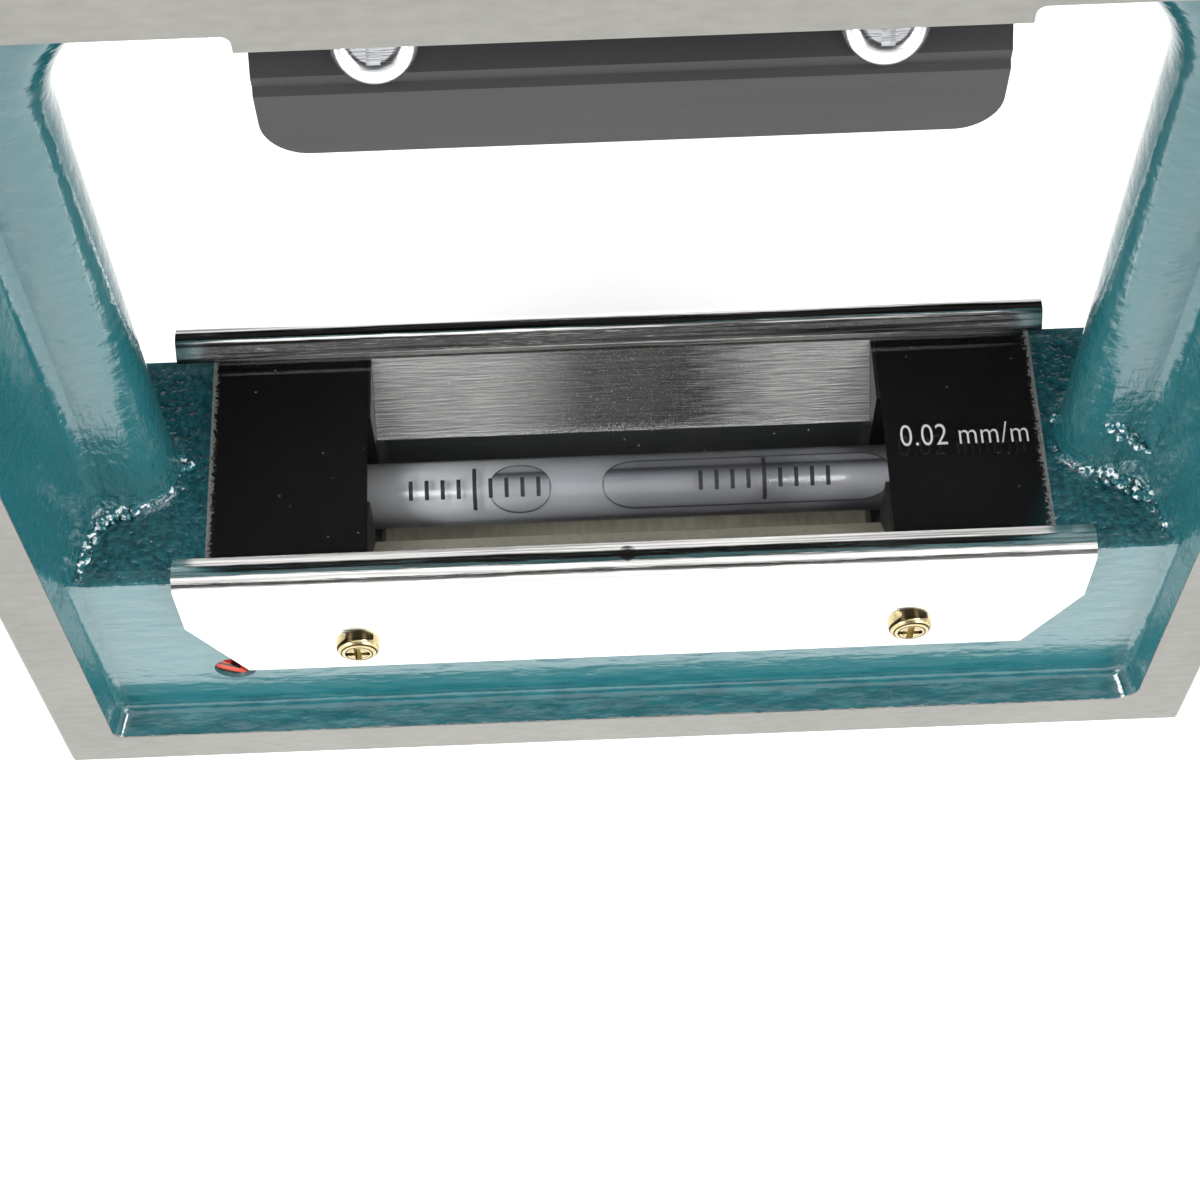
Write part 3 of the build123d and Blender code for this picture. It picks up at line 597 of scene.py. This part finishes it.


# Bubbles
# Two pockets of air float in the spirit, one long and one short. The light their rims and backs bend is
# painted
# into their colour: a dark outline at the rim, a dark band along the back and a lighter band in front of it.

def bubble_air():
    """Air in spirit: grey like the spirit, with painted shade at the rim and along the back and a painted
    highlight band in front.
    """
    material, tree, shader, place = new_material("bubble_air")
    spot = add_node(tree, "ShaderNodeUVMap", uv_map="bubble_map")
    across, rim = add_node(tree, "ShaderNodeSeparateXYZ", spot).outputs[0:2]
    # painted shade and highlight across the bubble: a lighter band in front, a dark band along the back
    back = add_node(tree, "ShaderNodeValToRGB", across)
    painted_tones = [(0.0, "e6e6e8"), (0.3, "ffffff"), (0.62, "f0f0f2"), (0.74, "8a8a90")]
    painted_tones += [(0.79, "5a5a60"), (0.83, "c8c8cc"), (1.0, "f4f4f6")]
    back.color_ramp.elements.remove(back.color_ramp.elements[1])
    back.color_ramp.elements[0].color = linear(painted_tones[0][1])
    for position, code in painted_tones[1:]:
        back.color_ramp.elements.new(position).color = linear(code)
    grey = painted_spirit_shading(tree, place)
    painted_bubble_shading = add_node(tree, "ShaderNodeMix", 1.0, grey, back, data_type="RGBA", blend_type="MULTIPLY")
    # painted shade: a dark outline round the bubble's rim
    edge = add_node(tree, "ShaderNodeMapRange", rim, 0.06, 0.34, 1.0, 0.0)
    outlined = add_node(tree, "ShaderNodeMix", edge, painted_bubble_shading, linear("2c2c32"), data_type="RGBA")
    fill(shader, {"Base Color": outlined, "Metallic": 0.3, "Roughness": 0.5})
    return material


def bubble_form(name, node, lean=radians(24), half_angle=radians(60), rows=72, columns=32):
    """A lens of air under the upper front of the bore, rounded at both ends."""
    low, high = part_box(node)
    top_r = bore_r + 0.03 * MM
    half = top_r * sin(half_angle)
    end = min(half * 1.7, (high.x - low.x) / 2)
    mesh = bmesh.new()
    uv = mesh.loops.layers.uv.new("bubble_map")
    facts = {}
    grid = []
    for i in range(rows + 1):
        # rows crowd at the rounded ends
        share = (1 - cos(pi * i / rows)) / 2
        x = low.x + (high.x - low.x) * share
        inset = max(0.0, end - (x - low.x), end - (high.x - x)) / end
        reach = half_angle * sqrt(max(0.0004, 1 - inset ** 2))
        row = []
        for j in range(columns + 1):
            s = -1 + 2 * j / columns
            angle = -lean + s * reach
            vert = mesh.verts.new((x, vial_y + top_r * sin(angle), vial_z + top_r * cos(angle)))
            across = 0.5 + 0.5 * s * reach / half_angle
            rim = min(top_r * reach * (1 - abs(s)), x - low.x, high.x - x) / MM
            facts[vert] = (across, rim)
            row.append(vert)
        grid.append(row)
    for first, second in zip(grid, grid[1:]):
        for j in range(columns):
            mesh.faces.new((first[j], first[j + 1], second[j + 1], second[j]))
    # the underside is the flat face of the spirit
    outline = grid[0] + [row[-1] for row in grid[1:-1]] + grid[-1][::-1] + [row[0] for row in grid[-2:0:-1]]
    mesh.faces.new(outline)
    for face in mesh.faces:
        for loop in face.loops:
            loop[uv].uv = facts[loop.vert]
    return finished(name, mesh)


air = bubble_air()
for node in ("long_bubble", "small_bubble"):
    bubble = bubble_form(node + "_air", node)
    bubble.data.materials.append(air)
    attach(bubble, node)
    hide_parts(node)


# End caps, pivot and zero adjuster
# Milled brass caps hold the vial's ends. A ground steel pin carries the right one, and a slotted
# spindle in red lacquer with a rubber ring sets the height of the left one.

def cut_metal(name, dark, light, metal, roughness, lines=None, line_colour="2e2719"):
    """Turned or milled metal with fine tool marks. Dark lines come from a function of the place."""
    material, tree, shader, place = new_material(name)
    stretched = add_node(tree, "ShaderNodeMapping", {"Vector": place, "Scale": (0.6, 6.0, 6.0)})
    marks = add_node(tree, "ShaderNodeTexNoise", {"Vector": stretched, "Scale": 1.0, "Detail": 4.0})
    colour = add_node(tree, "ShaderNodeMix", marks, linear(dark), linear(light), data_type="RGBA")
    if lines:
        colour = add_node(
            tree, "ShaderNodeMix", lines(tree, place), colour, linear(line_colour), data_type="RGBA")
    rough = add_node(tree, "ShaderNodeMix", marks, roughness, roughness + 0.12)
    bump = add_node(tree, "ShaderNodeBump", {"Height": marks, "Distance": 0.02 * MM, "Strength": 0.5})
    fill(shader, {"Base Color": colour, "Metallic": metal, "Roughness": rough, "Normal": bump})
    return material


brass = cut_metal("milled_brass", "8d6f35", "c7a860", 1.0, 0.25)
for name in ("left_end_cap", "right_end_cap"):
    wear_node(name, brass)
wear_node("pivot_pin", cut_metal("ground_pin_steel", "8f8e8b", "c9c8c5", 1.0, 0.2))


def slot_shade_stripes(tree, place):
    """Dark stripes across the spindle's face, painted as the shade in its driving slots."""
    x, _, z = add_node(tree, "ShaderNodeSeparateXYZ", place).outputs
    rise = add_node(tree, "ShaderNodeMath", z, 0.85, operation="MULTIPLY")
    slant = add_node(tree, "ShaderNodeMath", x, 0.55, rise, operation="MULTIPLY_ADD")
    turn = add_node(tree, "ShaderNodeMath", slant, 0.62, operation="MULTIPLY")
    share = add_node(tree, "ShaderNodeMath", turn, operation="FRACT")
    return add_node(tree, "ShaderNodeMath", share, 0.34, operation="LESS_THAN")


wear_node("zero_adjuster", cut_metal("red_lacquer", "c23a28", "dd5742", 0.0, 0.25, slot_shade_stripes, "1c1413"))


def black_rubber():
    """Moulded nitrile ring, dull black."""
    material, tree, shader, place = new_material("black_rubber")
    grain = add_node(tree, "ShaderNodeTexNoise", {"Vector": place, "Scale": 5.0, "Detail": 2.0})
    colour = add_node(tree, "ShaderNodeMix", grain, linear("101010"), linear("1d1d1d"), data_type="RGBA")
    fill(shader, {"Base Color": colour, "Roughness": 0.7})
    return material


wear_node("adjuster_ring", black_rubber())


# Window
# A black mask printed on film lies on the bar, with an opening over the pocket. The clear acrylic
# plate covers it, sawn at both ends, with a plain graduation value printed in white.

def printed_film():
    """Screen printed black, faintly uneven."""
    material, tree, shader, place = new_material("printed_film")
    cloud = add_node(tree, "ShaderNodeTexNoise", {"Vector": place, "Scale": 0.2, "Detail": 3.0})
    colour = add_node(tree, "ShaderNodeMix", cloud, linear("070707"), linear("0c0c0c"), data_type="RGBA")
    fill(shader, {"Base Color": colour, "Roughness": 0.85, "Specular IOR Level": 0.1})
    return material


def film_sheet():
    """The mask, a hair thinner than its CAD solid so that no two faces share a place."""
    low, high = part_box("window_film")
    film_gap = 0.02 * MM
    window_x0, window_x1, window_half = -30.9 * MM, 33.1 * MM, 14.8 * MM
    z0, z1 = low.z + film_gap, high.z - film_gap
    mesh = bmesh.new()
    outer = [(low.x, low.y), (high.x, low.y), (high.x, high.y), (low.x, high.y)]
    inner = [
        (window_x0, -window_half), (window_x1, -window_half), (window_x1, window_half),
        (window_x0, window_half)]
    rings = [[mesh.verts.new((x, y, z)) for x, y in ring] for z in (z0, z1) for ring in (outer, inner)]
    low_outer, low_inner, high_outer, high_inner = rings
    faces = [(low_outer, low_inner), (high_outer, high_inner)]
    walls = [(low_outer, high_outer), (low_inner, high_inner)]
    for a, b in faces + walls:
        for k in range(4):
            after = (k + 1) % 4
            mesh.faces.new((a[k], a[after], b[after], b[k]))
    return finished("window_mask", mesh, smooth=False)


mask = film_sheet()
mask.data.materials.append(printed_film())
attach(mask, "frame")
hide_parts("window_film")


def clear_acrylic():
    """Cast acrylic: polished faces, frosted sawn ends, dust on top."""
    low, high = (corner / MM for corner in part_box("window_plate"))
    material, tree, shader, place = new_material("clear_acrylic")
    x = add_node(tree, "ShaderNodeSeparateXYZ", place).outputs["X"]
    middle = (low.x + high.x) / 2
    along = add_node(tree, "ShaderNodeMath", x, middle, operation="SUBTRACT")
    along = add_node(tree, "ShaderNodeMath", along, operation="ABSOLUTE")
    from_end = add_node(tree, "ShaderNodeMath", (high.x - low.x) / 2, along, operation="SUBTRACT")
    chips = add_node(
        tree, "ShaderNodeTexNoise", {"Vector": place, "Scale": 2.6, "Detail": 5.0, "Roughness": 0.7})
    width = add_node(tree, "ShaderNodeMath", chips, 3.4, -1.45, operation="MULTIPLY_ADD")
    sawn = add_node(tree, "ShaderNodeMath", from_end, width, operation="LESS_THAN")
    dust = add_node(tree, "ShaderNodeTexVoronoi", {"Vector": place, "Scale": 0.32, "Randomness": 1.0})
    fleck = add_node(tree, "ShaderNodeMath", dust.outputs["Distance"], 0.035, operation="LESS_THAN")
    frost = add_node(tree, "ShaderNodeMath", sawn, fleck, operation="MAXIMUM")
    clear = add_node(tree, "ShaderNodeMath", 1.0, frost, operation="SUBTRACT")
    colour = add_node(tree, "ShaderNodeMix", frost, linear("ffffff"), linear("6f706e"), data_type="RGBA")
    rough = add_node(tree, "ShaderNodeMix", frost, 0.01, 0.5)
    fill(shader, {"Base Color": colour, "Transmission Weight": clear, "Roughness": rough, "IOR": 1.49})
    let_lamps_through(tree, shader, linear("f2f4f4"))
    return material


wear_node("window_plate", clear_acrylic())


def printed_value(text, start_x, base_y, height):
    """White printed characters as a thin solid on the plate."""
    curve = bpy.data.curves.new("value", "FONT")
    curve.body = text
    cap_share = 0.73   # a capital's height in the font's size
    curve.size = height / cap_share
    curve.space_character = 1.05
    curve.offset = -0.012 * height
    curve.extrude = 0.01 * MM
    holder = bpy.data.objects.new("value", curve)
    bpy.context.scene.collection.objects.link(holder)
    bpy.context.view_layer.update()
    data = bpy.data.meshes.new_from_object(holder.evaluated_get(bpy.context.evaluated_depsgraph_get()))
    bpy.data.objects.remove(holder)
    plate_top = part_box("window_plate")[1].z
    narrow = 0.765
    data.transform(
        Matrix.Translation((start_x, base_y, plate_top + 0.012 * MM)) @ Matrix.Diagonal((narrow, 1, 1, 1)))
    piece = bpy.data.objects.new("printed_value", data)
    bpy.context.scene.collection.objects.link(piece)
    return piece


def white_ink():
    """Screen printed white ink, thin enough to look slightly grey."""
    material, tree, shader, place = new_material("white_ink")
    cover = add_node(tree, "ShaderNodeTexNoise", {"Vector": place, "Scale": 3.0, "Detail": 2.0})
    colour = add_node(tree, "ShaderNodeMix", cover, linear("b4b4b2"), linear("dededc"), data_type="RGBA")
    fill(shader, {"Base Color": colour, "Roughness": 0.5})
    return material


value = printed_value("0.02 mm/m", start_x=34.7 * MM, base_y=-1.9 * MM, height=3.2 * MM)
value.data.materials.clear()
value.data.materials.append(white_ink())
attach(value, "frame")


# Sheet covers
# Bent from thin steel sheet and chromed bright. Each clamps one long edge of the plate and hangs down
# the bar's face. The sheet is a little wavy and carries light handling scratches.

def bright_chrome(name, dark_streak_share):
    """Chrome on rolled sheet: mirror finish with gentle waves, and dark streaks along the ridge painted as
    reflection.
    """
    skirt_top = 43.6
    material, tree, shader, place = new_material(name)
    long_wave = add_node(tree, "ShaderNodeMapping", {"Vector": place, "Scale": (0.05, 0.5, 0.25)})
    wave = add_node(tree, "ShaderNodeTexNoise", {"Vector": long_wave, "Scale": 1.0, "Detail": 3.0})
    fine_lay = add_node(tree, "ShaderNodeMapping", {"Vector": place, "Scale": (0.3, 9.0, 9.0)})
    lay = add_node(tree, "ShaderNodeTexNoise", {"Vector": fine_lay, "Scale": 1.0, "Detail": 3.0})
    # painted reflection: dark streaks along the ridge, more of them on the rear cover
    painted_dark_streaks = add_node(tree, "ShaderNodeMapping", {"Vector": place, "Scale": (0.025, 2.4, 1.6)})
    painted_dark_streaks = add_node(tree, "ShaderNodeTexNoise", {"Vector": painted_dark_streaks, "Scale": 1.0, "Detail": 4.0})
    painted_dark_streaks = add_node(tree, "ShaderNodeMapRange", painted_dark_streaks, 0.46, 0.60)
    z = add_node(tree, "ShaderNodeSeparateXYZ", place).outputs["Z"]
    painted_dark_streaks = add_node(tree, "ShaderNodeMath", painted_dark_streaks, dark_streak_share, operation="MULTIPLY")
    on_ridge = add_node(tree, "ShaderNodeMath", z, skirt_top, operation="GREATER_THAN")
    painted_dark_streaks = add_node(tree, "ShaderNodeMath", painted_dark_streaks, on_ridge, operation="MULTIPLY")
    bright = add_node(tree, "ShaderNodeMix", lay, linear("f2f1ee"), linear("fbfaf8"), data_type="RGBA")
    colour = add_node(tree, "ShaderNodeMix", painted_dark_streaks, bright, linear("1d1c1c"), data_type="RGBA")
    rough = add_node(tree, "ShaderNodeMix", lay, 0.08, 0.20)
    fill(shader, {"Base Color": colour, "Metallic": 1.0, "Roughness": rough})
    scratches = add_node(tree, "ShaderNodeMath", lay, 0.012, operation="MULTIPLY")
    height = add_node(tree, "ShaderNodeMath", wave, 0.16, scratches, operation="MULTIPLY_ADD")
    ding = add_node(tree, "ShaderNodeVectorMath", place, (0.6, -16.1, 45.4), operation="DISTANCE")
    ding = add_node(tree, "ShaderNodeMapRange", ding.outputs["Value"], 0.2, 1.1, -0.16, 0.0)
    height = add_node(tree, "ShaderNodeMath", height, ding, operation="ADD")
    bump = add_node(tree, "ShaderNodeBump", {"Height": height, "Distance": MM, "Strength": 1.0})
    fill(shader, {"Normal": bump})
    return material


wear_node("front_cover", bright_chrome("front_chrome", 0.45))
wear_node("rear_cover", bright_chrome("rear_chrome", 0.85))


# Cover screws
# Small pan head steel screws with a cross recess, zinc plated and yellow passivated. Two of them hold
# each cover to the bar's face.

def turned_rings(tree, place):
    """Dark turned lines round each screw's axis."""
    x, _, z = add_node(tree, "ShaderNodeSeparateXYZ", place).outputs
    middle, half_pitch, height = 1.35, 34.5, 29.2
    along = add_node(tree, "ShaderNodeMath", x, middle, operation="SUBTRACT")
    along = add_node(tree, "ShaderNodeMath", along, operation="ABSOLUTE")
    along = add_node(tree, "ShaderNodeMath", along, half_pitch, operation="SUBTRACT")
    along = add_node(tree, "ShaderNodeMath", along, along, operation="MULTIPLY")
    up = add_node(tree, "ShaderNodeMath", z, height, operation="SUBTRACT")
    up = add_node(tree, "ShaderNodeMath", up, up, operation="MULTIPLY")
    radius = add_node(tree, "ShaderNodeMath", along, up, operation="ADD")
    radius = add_node(tree, "ShaderNodeMath", radius, operation="SQRT")
    turn = add_node(tree, "ShaderNodeMath", radius, 1.9, operation="MULTIPLY")
    share = add_node(tree, "ShaderNodeMath", turn, operation="FRACT")
    ring = add_node(tree, "ShaderNodeMath", share, 0.36, operation="LESS_THAN")
    outside_recess = add_node(tree, "ShaderNodeMath", radius, 1.15, operation="GREATER_THAN")
    return add_node(tree, "ShaderNodeMath", ring, outside_recess, operation="MULTIPLY")


yellow_zinc = cut_metal("yellow_zinc", "a39062", "dccfa6", 1.0, 0.18, turned_rings)
for name in ("front_cover_screws", "rear_cover_screws"):
    wear_node(name, yellow_zinc)


# Hand grips
# Two black moulded strips under the top bar, angled over the lug. The finger face is fine grained, and
# two screws hold each strip.

def grained_plastic():
    """Injection moulded black plastic with a fine satin grain."""
    material, tree, shader, place = new_material("grained_plastic")
    grain = add_node(tree, "ShaderNodeTexNoise", {"Vector": place, "Scale": 3.5, "Detail": 3.0})
    sweep = add_node(tree, "ShaderNodeMapping", {"Vector": place, "Scale": (0.03, 0.2, 0.35)})
    shade = add_node(tree, "ShaderNodeTexNoise", {"Vector": sweep, "Scale": 1.0, "Detail": 2.0})
    colour = add_node(tree, "ShaderNodeMix", shade, linear("131314"), linear("29292b"), data_type="RGBA")
    fill(shader, {"Base Color": colour, "Roughness": add_node(tree, "ShaderNodeMix", grain, 0.32, 0.48)})
    bump = add_node(tree, "ShaderNodeBump", {"Height": grain, "Distance": 0.03 * MM, "Strength": 0.6})
    fill(shader, {"Normal": bump})
    return material


plastic = grained_plastic()
for name in ("front_grip", "rear_grip"):
    wear_node(name, plastic)


# Grip screws
# Larger pan head steel screws on the grips' slopes, bright zinc plated. They hold the grips to the lug
# of the casting.

bright_zinc = cut_metal("bright_zinc", "bfc1c4", "eeeff1", 1.0, 0.10)
for name in ("front_grip_screws", "rear_grip_screws"):
    wear_node(name, bright_zinc)


# Studio
# A pale floor that shows white behind the object, two softboxes low in front, two small ones high at
# the sides, and a camera at the photograph's angle: looking down at 62 degrees from the front.

def pale_floor():
    """Floor whose colour carries the white background. It keeps the object's shadow."""
    material, tree, shader, _ = new_material("pale_floor")
    fill(shader, {"Base Color": linear("f4f4f2"), "Roughness": 0.9})
    path = add_node(tree, "ShaderNodeLightPath").outputs
    seen = add_node(tree, "ShaderNodeMath", path["Is Camera Ray"], path["Is Glossy Ray"], operation="MAXIMUM")
    seen = add_node(tree, "ShaderNodeMath", seen, path["Is Transmission Ray"], operation="MAXIMUM")
    strength = add_node(tree, "ShaderNodeMath", seen, 0.62, operation="MULTIPLY")
    glow = add_node(tree, "ShaderNodeEmission", {"Color": (1, 1, 1, 1), "Strength": strength})
    both = add_node(tree, "ShaderNodeAddShader", shader, glow)
    fill(tree.nodes["Material Output"], {"Surface": both})
    return material


floor_drop = 0.2 * MM
floor_mesh = bmesh.new()
bmesh.ops.create_grid(floor_mesh, x_segments=1, y_segments=1, size=4.0)
bmesh.ops.translate(floor_mesh, vec=(0, 0, -floor_drop), verts=floor_mesh.verts)
floor = finished("floor", floor_mesh, smooth=False)
floor.data.materials.append(pale_floor())


def studio_world():
    """White round the horizon, a broad soft light above the front, dark behind and above, so that the
    plate stays black and the chrome has contrast."""
    world = bpy.data.worlds.new("studio")
    world.use_nodes = True
    tree = world.node_tree
    tree.nodes.clear()
    direction = add_node(tree, "ShaderNodeTexCoord").outputs["Generated"]
    x, y, z = add_node(tree, "ShaderNodeSeparateXYZ", direction).outputs
    across = add_node(tree, "ShaderNodeMath", x, operation="ABSOLUTE")
    fade = {"interpolation_type": "SMOOTHSTEP"}
    band = add_node(tree, "ShaderNodeMapRange", z, 0.26, 0.58, 1.0, 0.0, **fade)
    front = add_node(tree, "ShaderNodeMapRange", y, 0.02, -0.22, 0.0, 1.0, **fade)
    high = add_node(tree, "ShaderNodeMapRange", z, 0.56, 0.70, 0.0, 1.0, **fade)
    gap = add_node(tree, "ShaderNodeMapRange", across, 0.42, 0.22, 0.0, 0.85, **fade)
    lifted = add_node(tree, "ShaderNodeMapRange", z, 0.06, 0.2, 0.0, 1.0, **fade)
    gap = add_node(tree, "ShaderNodeMath", gap, front, operation="MULTIPLY")
    gap = add_node(tree, "ShaderNodeMath", gap, lifted, operation="MULTIPLY")
    kept = add_node(tree, "ShaderNodeMath", 1.0, gap, operation="SUBTRACT")
    band = add_node(tree, "ShaderNodeMath", band, kept, operation="MULTIPLY")
    soft = add_node(tree, "ShaderNodeMath", front, high, operation="MULTIPLY")
    soft = add_node(tree, "ShaderNodeMath", soft, 1.3, operation="MULTIPLY")
    level = add_node(tree, "ShaderNodeMath", band, soft, operation="ADD")
    level = add_node(tree, "ShaderNodeMath", level, 0.012, operation="ADD")
    path = add_node(tree, "ShaderNodeLightPath").outputs
    level = add_node(tree, "ShaderNodeMix", path["Is Camera Ray"], level, 1.0)
    background = add_node(tree, "ShaderNodeBackground", {"Color": (1, 1, 1, 1), "Strength": level})
    add_node(tree, "ShaderNodeOutputWorld", {"Surface": background})
    return world


bpy.context.scene.world = studio_world()


def softbox(name, place, aim, size, power):
    """A square soft lamp that points at a place."""
    lamp = bpy.data.lights.new(name, "AREA")
    lamp.shape = "RECTANGLE"
    lamp.size, lamp.size_y = size
    lamp.energy = power
    holder = bpy.data.objects.new(name, lamp)
    holder.location = place
    holder.rotation_euler = (Vector(aim) - Vector(place)).to_track_quat("-Z", "Y").to_euler()
    bpy.context.scene.collection.objects.link(holder)


at_window, at_middle = (0, 0, 0.035), (0, 0, 0.05)
small, large = (0.25, 0.2), (0.5, 0.4)
softbox("high_left_box", (-0.45, -0.26, 0.62), at_window, small, 2.6)
softbox("high_right_box", (0.45, -0.26, 0.62), at_window, small, 2.2)
softbox("front_left_box", (-0.62, -0.78, 0.34), at_middle, large, 3.2)
softbox("front_right_box", (0.66, -0.74, 0.36), at_middle, large, 4.0)

camera_place = (-4.163 * MM, -151.632 * MM, 292.115 * MM)
camera_down = radians(62.319)
camera_turn = radians(0.543)
camera_roll = radians(-1.741)
camera_lens = 70.68
forward = Vector(
    (sin(camera_turn) * cos(camera_down), cos(camera_turn) * cos(camera_down), -sin(camera_down)))
level = Vector((cos(camera_turn), -sin(camera_turn), 0))
upward = level.cross(forward)
camera_right = level * cos(camera_roll) + upward * sin(camera_roll)
camera_up = upward * cos(camera_roll) - level * sin(camera_roll)
turn = Matrix((camera_right, camera_up, -forward)).transposed().to_4x4()
camera_data = bpy.data.cameras.new("camera")
camera_data.lens = camera_lens
camera_data.sensor_width = 36.0
camera_data.clip_start = 0.01
camera = bpy.data.objects.new("camera", camera_data)
camera.matrix_world = Matrix.Translation(camera_place) @ turn
bpy.context.scene.collection.objects.link(camera)
bpy.context.scene.camera = camera
bpy.context.scene.view_settings.view_transform = "Standard"
